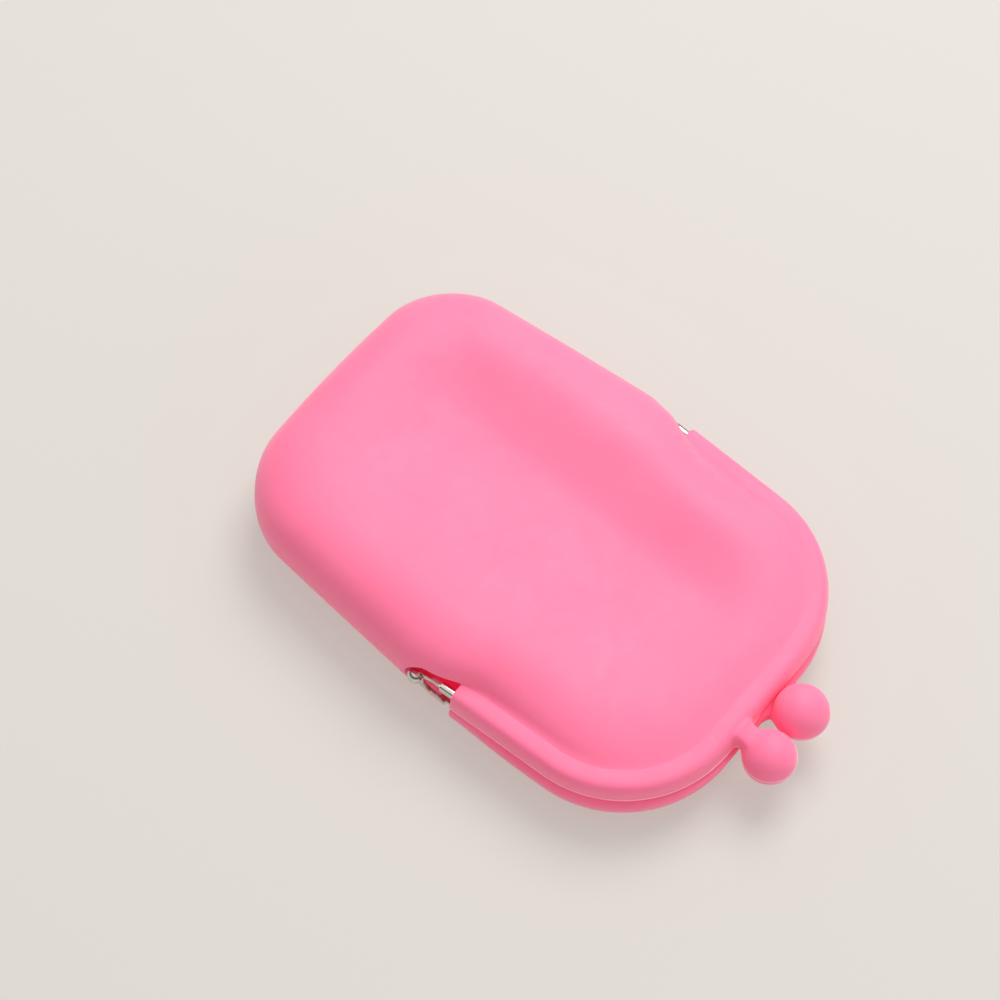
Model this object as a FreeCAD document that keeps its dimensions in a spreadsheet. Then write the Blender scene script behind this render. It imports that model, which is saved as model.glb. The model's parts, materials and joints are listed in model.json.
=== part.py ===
import FreeCAD, Part
import math
import os
import Sketcher

# Clasp-frame coin purse lying on its back wall, in millimetres.
# X runs from the bottom of the pouch to the mouth, Y across it and Z up.
# The origin is on the surface it lies on, under the middle of the hinge axis.

SIZES = {
    # Frame outline, seen from above
    "hinge_half_width": 41.6,
    "mouth_half_width": 39.2,
    "frame_reach": 61.0,
    "mouth_corner_radius": 26.0,
    # Pouch
    "pouch_half_width": 41.0,
    "bottom_half_width": 35.8,
    "pouch_depth": 59.0,
    "bottom_corner_radius": 19.0,
    "mid_height": 11.0,
    "crest_height": 13.0,
    "crest_inset": 16.0,
    "rest_inset": 12.0,
    "wall_thickness": 1.6,
    "dish_width": 48.0,
    "dish_depth": 3.4,
    "dish_mouth_depth": 0.5,
    "dish_offset": 6.0,
    # Fold above the hinges and the notches that show them
    "fold_back": 6.0,
    "notch_back": 4.0,
    "notch_height": 6.0,
    "notch_clearance": 0.5,
    # Silicone rails along the mouth
    "rail_start": 10.5,
    "bead_width": 5.6,
    "bead_height": 4.9,
    "bead_side_height": 1.8,
    "bead_shoulder_height": 3.9,
    "ledge_height": 3.0,
    "ledge_margin": 0.4,
    "groove_gap": 0.2,
    "mouth_gap": 0.3,
    # Steel arms inside the rails
    "bar_width": 2.0,
    "bar_height": 2.0,
    "bar_crown": 1.0,
    "bar_level": 2.5,
    "bar_start": 6.6,
    "rail_skin": 1.2,
    "bar_clearance": 0.1,
    # Hinge
    "tongue_inset": 0.7,
    "tongue_thickness": 0.9,
    "tongue_radius": 1.6,
    "tongue_bend": 4.2,
    "tongue_root": 1.5,
    "tongue_gap": 0.1,
    "shank_diameter": 2.0,
    "shank_clearance": 0.05,
    "head_diameter": 3.6,
    "head_height": 1.2,
    "tail_diameter": 3.2,
    "tail_height": 0.6,
    # Clasp
    "ball_diameter": 11.9,
    "ball_gap": 0.25,
    "ball_reach": 6.9,
    "clasp_offset": -1.5,
    "neck_diameter": 4.4,
    "post_diameter": 2.2,
    "knob_diameter": 3.6,
    # One overrun for all cuts
    "overrun": 5.0,
}

# Rings of the pouch above the middle plane, from the widest ring to the crest
RISE_SHARES = (0, 0.18, 0.32, 0.6, 0.82, 0.95, 1)
RISE_SIDE_SHARES = (0, 0.015, 0.045, 0.16, 0.36, 0.64, 1)
RISE_FRONT_SHARES = (0, 0, 0.01, 0.04, 0.14, 0.38, 0.66)
RISE_SLOPE_SHARES = (0, 0, 0.004, 0.13, 0.32, 0.48, 0.6)
RISE_CORNER_SHARES = (1, 1, 1, 0.95, 0.85, 0.65, 0.45)
RISE_WALL_SHARES = (1, 0.85, 0.73, 0.52, 0.1, 0, 0)

# Rings below the middle plane, from the widest ring to the face it rests on
FALL_SHARES = (0, 0.18, 0.36, 0.64, 0.87, 0.97, 1)
FALL_SIDE_SHARES = (0, 0.012, 0.05, 0.2, 0.48, 0.74, 1)
FALL_FRONT_SHARES = (0, 0, 0.01, 0.06, 0.28, 0.52, 0.76)
FALL_SLOPE_SHARES = (0, 0, 0.008, 0.07, 0.16, 0.22, 0.27)
FALL_CORNER_SHARES = (1, 1, 1, 0.95, 0.85, 0.75, 0.65)
FALL_WALL_SHARES = (1, 0.85, 0.72, 0.5, 0.15, 0.05, 0)

# Places along a side, for the points of a ring
SIDE_SHARES = (0.3, 0.45, 0.55, 0.65, 0.8)
NOTCH_PEAK_SHARE = 0.45
ROUND_SHARE = math.sqrt(0.5)

doc = FreeCAD.newDocument("CoinPurse")
sheet = doc.addObject("Spreadsheet::Sheet", "Sizes")
for row, (alias, value) in enumerate(SIZES.items(), 1):
    sheet.set(f"A{row}", alias)
    sheet.set(f"B{row}", str(value))
    sheet.setAlias(f"B{row}", alias)
doc.recompute()


def size(alias):
    """Read one driving size from the sheet."""
    return float(sheet.get(alias))


def value_of(text):
    """Work out an expression in the sheet's sizes."""
    return float(sheet.evalExpression(text))


def named(text):
    """Put the sheet's name before each size in an expression."""
    words = text.replace("(", " ( ").replace(")", " ) ").split()
    return " ".join(f"Sizes.{word}" if word in SIZES else word for word in words)


# Sketching


def plane_of(body, role):
    """Find one of a body's own origin planes."""
    return next(plane for plane in body.Origin.OriginFeatures if plane.Role == role)


def sketch_on(body, name, role, lift=None):
    """Start a sketch on an origin plane, lifted off it by an expression."""
    sketch = body.newObject("Sketcher::SketchObject", name)
    sketch.AttachmentSupport = (plane_of(body, role), [""])
    sketch.MapMode = "FlatFace"
    if lift:
        sketch.setExpression(".AttachmentOffset.Base.z", named(lift))
    return sketch


def lock(sketch, geometry, end, place):
    """Hold a point of the sketch at a place given as two expressions."""
    for kind, text in zip(("DistanceX", "DistanceY"), place):
        text = named(text)
        rule = Sketcher.Constraint(kind, -1, 1, geometry, end, value_of(text))
        sketch.setExpression(f"Constraints[{sketch.addConstraint(rule)}]", text)


def spot(place):
    """The point that two expressions give."""
    return FreeCAD.Vector(value_of(named(place[0])), value_of(named(place[1])), 0)


def draw_loop(sketch, corners):
    """Draw a closed loop: a corner is (x, y), or (x, y, x, y) where an arc through the second point follows it."""
    ends = []
    for corner, after in zip(corners, corners[1:] + corners[:1]):
        start = spot(corner[:2])
        stop = spot(after[:2])
        if len(corner) == 2:
            index = sketch.addGeometry(Part.LineSegment(start, stop))
            ends.append((index, 1, 2))
        else:
            middle = spot(corner[2:])
            turns_left = (middle - start).cross(stop - start).z > 0
            arc = Part.Arc(start, middle, stop) if turns_left else Part.Arc(stop, middle, start)
            index = sketch.addGeometry(arc)
            ends.append((index, 1, 2) if turns_left else (index, 2, 1))
    for (index, start, stop), (after, after_start, after_stop) in zip(ends, ends[1:] + ends[:1]):
        sketch.addConstraint(Sketcher.Constraint("Coincident", index, stop, after, after_start))
    for (index, start, stop), corner in zip(ends, corners):
        lock(sketch, index, start, corner[:2])
        if len(corner) > 2:
            guide = sketch.addGeometry(Part.Point(spot(corner[2:])), True)
            lock(sketch, guide, 1, corner[2:])
            sketch.addConstraint(Sketcher.Constraint("PointOnObject", guide, 1, index))


def draw_circle(sketch, place, radius):
    """Draw a circle with its centre and radius given as expressions."""
    circle = Part.Circle(spot(place), FreeCAD.Vector(0, 0, 1), value_of(named(radius)))
    index = sketch.addGeometry(circle)
    lock(sketch, index, 3, place)
    rule = Sketcher.Constraint("Radius", index, circle.Radius)
    sketch.setExpression(f"Constraints[{sketch.addConstraint(rule)}]", named(radius))


# Half of the frame's outline, from the middle of the mouth to one leg

LEG_NARROWING = "( ( hinge_half_width - mouth_half_width ) / frame_reach )"


def leg_half_width(place):
    """Half width between the frame's legs at a distance from the hinge axis."""
    return f"( hinge_half_width - {LEG_NARROWING} * {place} )"


def draw_spine(body, name, leg_end):
    """Sketch the half outline: across the mouth, round the corner and down a leg to leg_end."""
    sketch = sketch_on(body, name, "XY_Plane")
    reach = size("frame_reach")
    radius = size("mouth_corner_radius")
    slant = value_of(named(LEG_NARROWING))
    square = math.hypot(1, slant)
    corner_x = reach - radius
    corner_y = value_of(named(leg_half_width("frame_reach"))) + slant * radius - radius * square
    start = FreeCAD.Vector(reach, 0, 0)
    corner_start = FreeCAD.Vector(reach, corner_y, 0)
    corner_stop = FreeCAD.Vector(corner_x + radius * slant / square, corner_y + radius / square, 0)
    stop = spot((leg_end, leg_half_width(leg_end)))
    circle = Part.Circle(FreeCAD.Vector(corner_x, corner_y, 0), FreeCAD.Vector(0, 0, 1), radius)
    across = sketch.addGeometry(Part.LineSegment(start, corner_start))
    corner = sketch.addGeometry(Part.ArcOfCircle(circle, 0, math.atan2(1, slant)))
    leg = sketch.addGeometry(Part.LineSegment(corner_stop, stop))
    lock(sketch, across, 1, ("frame_reach", "0"))
    sketch.addConstraint(Sketcher.Constraint("Vertical", across))
    sketch.addConstraint(Sketcher.Constraint("Tangent", across, 2, corner, 1))
    sketch.addConstraint(Sketcher.Constraint("Tangent", corner, 2, leg, 1))
    rule = Sketcher.Constraint("Radius", corner, radius)
    sketch.setExpression(f"Constraints[{sketch.addConstraint(rule)}]", named("mouth_corner_radius"))
    lock(sketch, leg, 2, (leg_end, leg_half_width(leg_end)))
    guide = sketch.addGeometry(Part.Point(FreeCAD.Vector(0, size("hinge_half_width"), 0)), True)
    lock(sketch, guide, 1, ("0", "hinge_half_width"))
    sketch.addConstraint(Sketcher.Constraint("PointOnObject", guide, 1, leg))
    return sketch


def sweep_half(body, profile, spine):
    """Sweep a profile along the half outline."""
    sweep = body.newObject("PartDesign::AdditivePipe", "Sweep")
    sweep.Profile = profile
    sweep.Spine = (spine, [f"Edge{index + 1}" for index in range(len(spine.Shape.Edges))])
    return sweep


def mirror_half(body, features):
    """Add the other half of a body, across the plane Y = 0."""
    mirrored = body.newObject("PartDesign::Mirrored", "OtherHalf")
    mirrored.Originals = features
    mirrored.MirrorPlane = (plane_of(body, "XZ_Plane"), [""])
    body.Tip = mirrored


def level(side, height):
    """Height above the ground of a height above (+) or below (-) the middle plane."""
    return f"mid_height {side} ( {height} )"


def inset(depth):
    """X of a depth inside the frame's outline at the middle of the mouth."""
    return f"frame_reach - ( {depth} )"


# Silicone rails


def make_rail(name, side):
    """One silicone sleeve along the mouth, hollow for its steel arm."""
    body = doc.addObject("PartDesign::Body", name)
    spine = draw_spine(body, "Outline", "rail_start")
    profile = sketch_on(body, "Profile", "XZ_Plane")
    half_bead = "bead_width / 2"
    ledge_inset = "bead_width + groove_gap + wall_thickness + ledge_margin"
    outer_round = inset(f"{half_bead} * {1 - ROUND_SHARE}")
    inner_round = inset(f"{half_bead} * {1 + ROUND_SHARE}")
    outer_rise = f"bead_side_height + ( bead_height - bead_side_height ) * {ROUND_SHARE}"
    inner_rise = f"bead_shoulder_height + ( bead_height - bead_shoulder_height ) * {ROUND_SHARE}"
    draw_loop(profile, [
        (inset("0"), level(side, "mouth_gap / 2")),
        (inset("0"), level(side, "bead_side_height"), outer_round, level(side, outer_rise)),
        (inset(half_bead), level(side, "bead_height"), inner_round, level(side, inner_rise)),
        (inset("bead_width"), level(side, "bead_shoulder_height")),
        (inset("bead_width"), level(side, "ledge_height")),
        (inset(ledge_inset), level(side, "ledge_height")),
        (inset(ledge_inset), level(side, "mouth_gap / 2")),
    ])
    draw_loop(profile, bar_corners(side, "bar_clearance"))
    doc.recompute()
    sweep = sweep_half(body, profile, spine)
    mirror_half(body, [sweep])
    doc.recompute()
    return body


# Steel arms


def bar_corners(side, spare):
    """Corners of the arm's section, with a crowned face, grown by a clearance."""
    outer = inset(f"rail_skin - {spare}")
    inner = inset(f"rail_skin + bar_width + {spare}")
    middle = inset("rail_skin + bar_width / 2")
    low = level(side, f"bar_level - bar_height / 2 - {spare}")
    high = level(side, f"bar_level + bar_height / 2 - bar_crown + {spare}")
    top = level(side, f"bar_level + bar_height / 2 + {spare}")
    return [(outer, low), (outer, high, middle, top), (inner, high), (inner, low)]


TONGUE_FACE = f"( {leg_half_width('bar_start')} - tongue_inset )"


def make_arm(name, side, tongue_depth):
    """One steel U arm; each leg ends in a flat tongue, tongue_depth inside the outermost face of the hinge."""
    body = doc.addObject("PartDesign::Body", name)
    spine = draw_spine(body, "Outline", "bar_start")
    profile = sketch_on(body, "Profile", "XZ_Plane")
    draw_loop(profile, bar_corners(side, "0"))
    doc.recompute()
    sweep = sweep_half(body, profile, spine)
    # This plane's sketches face -Y, so a lift towards +Y is negative
    tongue = sketch_on(body, "TongueOutline", "XZ_Plane", f"0 - ( {TONGUE_FACE} - ( {tongue_depth} ) )")
    root = "bar_start + tongue_root"
    high = level(side, "bar_level + bar_height / 2 - bar_crown / 2")
    low = level(side, "bar_level - bar_height / 2")
    eye_round = f"tongue_radius * {ROUND_SHARE}"
    draw_loop(tongue, [
        ("0", level(side, "tongue_radius")),
        ("tongue_bend", high),
        (root, high),
        (root, low),
        ("tongue_bend", low),
        ("tongue_radius", level(side, "0"), eye_round, level(side, f"0 - {eye_round}")),
        ("0", level(side, "0 - tongue_radius"), "0 - tongue_radius", level(side, "0")),
    ])
    draw_circle(tongue, ("0", "mid_height"), "shank_diameter / 2 + shank_clearance")
    pad = body.newObject("PartDesign::Pad", "Tongue")
    pad.Profile = tongue
    pad.setExpression("Length", named("tongue_thickness"))
    doc.recompute()
    mirror_half(body, [sweep, pad])
    doc.recompute()
    return body


# Hinge rivets


def make_rivet(name, side):
    """One domed rivet through both tongues, on the hinge axis."""
    body = doc.addObject("PartDesign::Body", name)
    body.setExpression(".Placement.Base.z", named("mid_height"))
    profile = sketch_on(body, "Profile", "XY_Plane")
    under_head = f"0 {side} ( {TONGUE_FACE} )"
    head_top = f"0 {side} ( {TONGUE_FACE} + head_height )"
    dome = "( ( head_diameter / 2 ) ^ 2 + head_height ^ 2 ) / ( 2 * head_height )"
    dome_rise = f"( ( {dome} ) ^ 2 - ( head_diameter / 4 ) ^ 2 ) ^ 0.5"
    head_round = f"0 {side} ( {TONGUE_FACE} + head_height - {dome} + {dome_rise} )"
    tail = f"{TONGUE_FACE} - ( tongue_thickness + tongue_gap ) * 2"
    over_tail = f"0 {side} ( {tail} )"
    tail_end = f"0 {side} ( {tail} - tail_height )"
    draw_loop(profile, [
        ("0", head_top, "head_diameter / 4", head_round),
        ("head_diameter / 2", under_head),
        ("shank_diameter / 2", under_head),
        ("shank_diameter / 2", over_tail),
        ("tail_diameter / 2", over_tail),
        ("tail_diameter / 2", tail_end),
        ("0", tail_end),
    ])
    turned = body.newObject("PartDesign::Revolution", "Turned")
    turned.Profile = profile
    turned.ReferenceAxis = (profile, ["V_Axis"])
    doc.recompute()
    return body


# Clasp


def along_x(obj, x_text, y_text, z_text):
    """Place a cylinder so that it runs along +X from a point given as expressions."""
    obj.Placement.Rotation = FreeCAD.Rotation(FreeCAD.Vector(0, 1, 0), 90)
    centre_on(obj, x_text, y_text, z_text)


def centre_on(obj, x_text, y_text, z_text):
    """Bind an object's place to three expressions."""
    for axis, text in zip("xyz", (x_text, y_text, z_text)):
        obj.setExpression(f".Placement.Base.{axis}", named(text))


def join(kind, name, base, tool):
    """Make one boolean of two objects."""
    result = doc.addObject(f"Part::{kind}", name)
    result.Base = base
    result.Tool = tool
    return result


def make_rod(name, diameter, start, stop, y_text, z_text):
    """A round rod along X between two expressions."""
    rod = doc.addObject("Part::Cylinder", name)
    rod.setExpression("Radius", named(f"( {diameter} ) / 2"))
    rod.setExpression("Height", named(f"( {stop} ) - ( {start} )"))
    along_x(rod, start, y_text, z_text)
    return rod


def make_globe(name, diameter, x_text, y_text, z_text):
    """A ball centred on three expressions."""
    globe = doc.addObject("Part::Sphere", name)
    globe.setExpression("Radius", named(f"{diameter} / 2"))
    centre_on(globe, x_text, y_text, z_text)
    return globe


BALL_X = "frame_reach + ball_reach"


def make_clasp(name, side, hand, rail_body):
    """The post, the silicone ball over it and the rail that both stand on, for one arm."""
    across = f"clasp_offset {hand} ( ( ball_diameter + ball_gap ) / 2 )"
    height = level(side, "bar_level")
    pin = make_rod(f"{name}_pin", "post_diameter", inset("rail_skin"), BALL_X, across, height)
    knob = make_globe(f"{name}_knob", "knob_diameter", BALL_X, across, height)
    post = join("Fuse", f"{name}_clasp_post", pin, knob)
    rail = join("Cut", f"{name}_rail", rail_body, pin)
    globe = make_globe(f"{name}_globe", "ball_diameter", BALL_X, across, "mid_height")
    neck = make_rod(f"{name}_neck", "neck_diameter", inset("rail_skin - bar_clearance"), BALL_X, across, height)
    # Nothing of the neck may reach past the plane where the two rails meet
    lip = doc.addObject("Part::Box", f"{name}_lip")
    lip.setExpression("Length", named("rail_skin + mouth_gap"))
    lip.setExpression("Width", named("neck_diameter"))
    lip.setExpression("Height", named("mouth_gap / 2 + neck_diameter"))
    low = "mid_height - neck_diameter" if side == "+" else "mid_height - mouth_gap / 2"
    centre_on(lip, inset("rail_skin"), f"{across} - neck_diameter / 2", low)
    bare = join("Fuse", f"{name}_bare_ball", globe, join("Cut", f"{name}_cut_neck", neck, lip))
    seated = join("Cut", f"{name}_seated_ball", bare, rail_body)
    ball = join("Cut", f"{name}_clasp_ball", seated, post)
    doc.recompute()
    return post, ball, rail


# Pouch


def ease(share):
    """Rise smoothly from 0 to 1."""
    share = min(max(share, 0), 1)
    return share * share * (3 - 2 * share)


def front_share(x):
    """How far a place along the pouch belongs to the part inside the rails, from 0 to 1."""
    return ease((x + size("fold_back")) / (size("rail_start") + size("fold_back")))


def half_width(x, side_inset, front_inset):
    """Half width of a ring of the pouch at x: the pouch's own sides at the back, inside the rails at the front."""
    pouch = size("pouch_half_width") + pouch_slant() * min(x, 0)
    frame = size("hinge_half_width") + frame_slant() * max(x, 0)
    share = front_share(x)
    return (1 - share) * (pouch - side_inset) + share * (frame - front_inset)


def pouch_slant():
    """How fast the pouch widens towards the hinges."""
    return (size("pouch_half_width") - size("bottom_half_width")) / size("pouch_depth")


def frame_slant():
    """How fast the frame narrows towards the mouth, so less than 0."""
    return (size("mouth_half_width") - size("hinge_half_width")) / size("frame_reach")


def make_ring(height, side_inset, front_inset, slope_share, corner_share, wall):
    """One closed, level ring of the pouch; wall is what an inner ring gives up at the mouth."""
    front_x = size("frame_reach") - size("bead_width") - size("groove_gap")
    span = front_x + size("pouch_depth")
    ends = {
        -1: (side_inset - size("pouch_depth"), size("bottom_corner_radius") * corner_share),
        1: (front_x - span * slope_share - wall,
            (size("mouth_corner_radius") - size("bead_width")) * corner_share),
    }

    def place(x, y):
        return FreeCAD.Vector(x, y, height)

    def corner(towards):
        end_x, radius = ends[towards]
        x = end_x - towards * radius
        share = front_share(x)
        slant = (1 - share) * pouch_slant() + share * frame_slant()
        y = half_width(x, side_inset, front_inset) - radius * math.hypot(1, slant)
        last = math.atan2(1, -slant * towards)
        start, middle, stop = (
            place(x + towards * radius * math.cos(turn), y + radius * math.sin(turn))
            for turn in (0, last / 2, last))
        return start, middle, stop, FreeCAD.Vector(1, slant, 0)

    def other_side(point):
        return FreeCAD.Vector(point.x, -point.y, point.z)

    bottom_start, bottom_middle, bottom_stop, bottom_way = corner(-1)
    mouth_start, mouth_middle, mouth_stop, mouth_way = corner(1)
    xs = [bottom_stop.x + (mouth_stop.x - bottom_stop.x) * share for share in SIDE_SHARES]
    inner_side = [place(x, half_width(x, side_inset, front_inset)) for x in xs]
    side_points = [bottom_stop, *inner_side, mouth_stop]
    side = Part.BSplineCurve()
    side.interpolate(Points=side_points, InitialTangent=bottom_way, FinalTangent=mouth_way)
    mirrored_side = Part.BSplineCurve()
    mirrored_side.interpolate(
        Points=[other_side(point) for point in reversed(side_points)],
        InitialTangent=-other_side(mouth_way), FinalTangent=-other_side(bottom_way))
    edges = [
        Part.LineSegment(other_side(bottom_start), bottom_start),
        Part.Arc(bottom_start, bottom_middle, bottom_stop),
        side,
        Part.Arc(mouth_stop, mouth_middle, mouth_start),
        Part.LineSegment(mouth_start, other_side(mouth_start)),
        Part.Arc(other_side(mouth_start), other_side(mouth_middle), other_side(mouth_stop)),
        mirrored_side,
        Part.Arc(other_side(bottom_stop), other_side(bottom_middle), other_side(bottom_start)),
    ]
    return Part.Wire([edge.toShape() for edge in edges])


def make_half(name, side, rise, depth_inset, tables, wall):
    """Loft half of the pouch from the middle plane to its crest or rest face; wall is 0 for the outside."""
    groove = size("bead_width") + size("groove_gap")
    rings = []
    for rise_share, side_share, front_share, slope_share, corner_share, wall_share in zip(*tables):
        height = rise * rise_share - (wall if rise_share else 0)
        thickness = wall * wall_share
        side_inset = depth_inset * side_share + thickness
        front_inset = groove + depth_inset * front_share + thickness
        rings.append(make_ring(
            size("mid_height") + side * height, side_inset, front_inset, slope_share, corner_share, wall))
    half = doc.addObject("Part::Feature", name)
    half.Shape = Part.makeLoft(rings, True, False)
    return half


def make_dish(name, wall):
    """A long round tool that hollows the crest and runs out at the mouth; wall makes the one for the inside."""
    half_width_of_dish = size("dish_width") / 2
    depth = size("dish_depth")
    radius = (half_width_of_dish ** 2 + depth ** 2) / (2 * depth)
    span = size("frame_reach") + size("pouch_depth")
    front_x = size("frame_reach") - size("bead_width")
    slope_run = span * (RISE_SLOPE_SHARES[-1] - RISE_SLOPE_SHARES[3])
    slope_fall = size("crest_height") * (1 - RISE_SHARES[3])
    tilt = math.degrees(math.atan2(slope_fall + size("dish_mouth_depth") - depth, slope_run))
    tool = doc.addObject("Part::Feature", name)
    tool.Shape = Part.makeCylinder(radius + wall, span * 2)
    top_x = front_x - span * RISE_SLOPE_SHARES[-1]
    top_z = size("mid_height") + size("crest_height") - depth + radius
    lie = FreeCAD.Rotation(FreeCAD.Vector(0, 1, 0), 90 + tilt)
    middle = FreeCAD.Vector(top_x, size("dish_offset"), top_z)
    tool.Placement = FreeCAD.Placement(middle - lie.multVec(FreeCAD.Vector(0, 0, span)), lie)
    return tool


def make_layers():
    """The outside and the inside of the pouch: upper half, lower half and both joined."""
    rise_tables = (RISE_SHARES, RISE_SIDE_SHARES, RISE_FRONT_SHARES,
                   RISE_SLOPE_SHARES, RISE_CORNER_SHARES, RISE_WALL_SHARES)
    fall_tables = (FALL_SHARES, FALL_SIDE_SHARES, FALL_FRONT_SHARES,
                   FALL_SLOPE_SHARES, FALL_CORNER_SHARES, FALL_WALL_SHARES)
    layers = {}
    for layer, wall in (("outer", 0), ("inner", size("wall_thickness"))):
        upper = make_half(f"upper_{layer}", 1, size("crest_height"), size("crest_inset"), rise_tables, wall)
        dished = join("Cut", f"dished_{layer}", upper, make_dish(f"dish_{layer}", wall))
        lower = make_half(f"lower_{layer}", -1, size("mid_height"), size("rest_inset"), fall_tables, wall)
        whole = join("Fuse", f"whole_{layer}", dished, lower)
        layers[layer] = {"upper": dished, "lower": lower, "whole": whole}
    return layers


def make_slab(name, x_start, x_stop, z_start, z_stop):
    """A box as wide as the whole purse, between expressions in X and Z."""
    slab = doc.addObject("Part::Box", name)
    slab.setExpression("Length", named(f"( {x_stop} ) - ( {x_start} )"))
    slab.setExpression("Width", named("( hinge_half_width + overrun ) * 2"))
    slab.setExpression("Height", named(f"( {z_stop} ) - ( {z_start} )"))
    centre_on(slab, x_start, "0 - hinge_half_width - overrun", z_start)
    return slab


def make_notch():
    """The opening at each side that shows the hinge, cut right across."""
    peak_x = (size("rail_start") + size("notch_back")) * NOTCH_PEAK_SHARE - size("notch_back")
    front_rise = size("bar_level") + size("bar_height") / 2 + size("notch_clearance")
    across = size("hinge_half_width") + size("overrun")

    def place(x, rise):
        return FreeCAD.Vector(x, -across, size("mid_height") + rise)

    back = place(-size("notch_back"), 0)
    upper = Part.Arc(back, place(peak_x, size("notch_height")), place(size("rail_start"), front_rise))
    lower = Part.Arc(place(size("rail_start"), -front_rise), place(peak_x, -size("notch_height")), back)
    front = Part.LineSegment(place(size("rail_start"), front_rise), place(size("rail_start"), -front_rise))
    outline = Part.Wire([upper.toShape(), front.toShape(), lower.toShape()])
    notch = doc.addObject("Part::Feature", "notch")
    notch.Shape = Part.Face(outline).extrude(FreeCAD.Vector(0, across * 2, 0))
    return notch


def make_wall(name, layers, part, slab):
    """The silicone of one part of the pouch inside a slab."""
    block = join("Common", f"{name}_block", layers["outer"][part], slab)
    return join("Cut", name, block, layers["inner"][part])


def make_pouch():
    """Split the silicone into the base cup, the back wall, the fold and the front wall."""
    layers = make_layers()
    notch = make_notch()
    fold_x = "0 - fold_back"
    far_x = "frame_reach + overrun"
    top_z = "mid_height + crest_height + overrun"
    base_slab = make_slab("base_slab", "0 - pouch_depth - overrun", fold_x, "0 - overrun", top_z)
    fold_slab = make_slab("fold_slab", fold_x, "rail_start", "mid_height", top_z)
    front_slab = make_slab("front_slab", "rail_start", far_x, "mid_height + ledge_height", top_z)
    back_slab = make_slab("back_slab", fold_x, far_x, "0 - overrun", "mid_height")
    rail_slab = make_slab("rail_slab", "rail_start", far_x, "mid_height - ledge_height", "mid_height + overrun")
    base = make_wall("base_wall", layers, "whole", base_slab)
    front = make_wall("front_panel", layers, "upper", front_slab)
    fold = join("Cut", "fold_wall", make_wall("fold_strip", layers, "upper", fold_slab), notch)
    notched = join("Cut", "notched_back", make_wall("back_strip", layers, "lower", back_slab), notch)
    back = join("Cut", "back_panel", notched, rail_slab)
    doc.recompute()
    return base, fold, front, back


# Assembly


def build():
    """Make every piece and return them by name."""
    base, fold, front, back = make_pouch()
    pieces = {"pouch_base": base, "front_fold": fold, "front_wall": front, "back_wall": back}
    inner_tongue = "tongue_thickness + tongue_gap"
    pieces["front_frame"] = make_arm("front_arm", "+", inner_tongue)
    pieces["back_frame"] = make_arm("back_arm", "-", "0")
    for name, side, hand in (("front", "+", "-"), ("back", "-", "+")):
        rail_body = make_rail(f"{name}_sleeve", side)
        post, ball, rail = make_clasp(name, side, hand, rail_body)
        pieces[f"{name}_rail"] = rail
        pieces[f"{name}_clasp_post"] = post
        pieces[f"{name}_clasp_ball"] = ball
    pieces["hinge_rivet_near"] = make_rivet("near_rivet", "-")
    pieces["hinge_rivet_far"] = make_rivet("far_rivet", "+")
    return pieces


def check(pieces):
    """Stop if any object failed or any piece isn't one sound solid."""
    failed = [obj.Name for obj in doc.Objects if "Invalid" in obj.State or "Error" in obj.State]
    if failed:
        raise RuntimeError(f"failed objects: {failed}")
    for name, obj in pieces.items():
        shape = obj.Shape
        if shape.isNull() or not shape.isValid() or len(shape.Solids) != 1:
            raise RuntimeError(f"{name} is not one sound solid: {len(shape.Solids)} solids")


purse = build()
doc.recompute()
check(purse)
os.makedirs("parts", exist_ok=True)
for node, piece in purse.items():
    piece.Label = node
    piece.Shape.exportStep(f"parts/{node}.step")
    box = piece.Shape.BoundBox
    print(f"{node}: {piece.Shape.Volume:.1f} mm3, x {box.XMin:.2f} to {box.XMax:.2f}, "
          f"y {box.YMin:.2f} to {box.YMax:.2f}, z {box.ZMin:.2f} to {box.ZMax:.2f}")
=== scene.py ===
import json
import math

import bmesh
import bpy
import numpy as np
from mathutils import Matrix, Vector


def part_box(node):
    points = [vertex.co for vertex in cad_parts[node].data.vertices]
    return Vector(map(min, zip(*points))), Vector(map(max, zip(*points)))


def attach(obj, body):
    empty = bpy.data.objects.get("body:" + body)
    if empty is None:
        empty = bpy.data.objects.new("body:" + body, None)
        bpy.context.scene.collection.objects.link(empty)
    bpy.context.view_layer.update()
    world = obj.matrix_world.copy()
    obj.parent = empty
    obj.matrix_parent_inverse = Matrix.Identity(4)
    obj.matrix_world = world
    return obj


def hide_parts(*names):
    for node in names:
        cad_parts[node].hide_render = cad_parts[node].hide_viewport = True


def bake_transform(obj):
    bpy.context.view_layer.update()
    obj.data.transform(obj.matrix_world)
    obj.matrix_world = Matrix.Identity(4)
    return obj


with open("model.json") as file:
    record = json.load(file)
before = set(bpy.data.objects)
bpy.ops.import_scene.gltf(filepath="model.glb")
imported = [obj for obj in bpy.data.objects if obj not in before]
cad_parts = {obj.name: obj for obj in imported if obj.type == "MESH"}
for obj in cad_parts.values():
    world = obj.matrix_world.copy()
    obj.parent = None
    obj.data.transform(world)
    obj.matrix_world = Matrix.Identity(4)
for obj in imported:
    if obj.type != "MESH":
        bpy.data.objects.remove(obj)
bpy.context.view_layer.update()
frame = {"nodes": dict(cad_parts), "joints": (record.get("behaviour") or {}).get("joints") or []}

# Clasp-frame coin purse in silicone. Shapes are worked out in millimetres and made in metres.
# Tables for rails, lips and balls have the key 1 for the front (upper) half and -1 for the back (lower) one.
MM = 0.001


def node_box(node):
    """Lowest and highest corners of a CAD node, in millimetres."""
    return [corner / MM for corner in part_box(node)]


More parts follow.
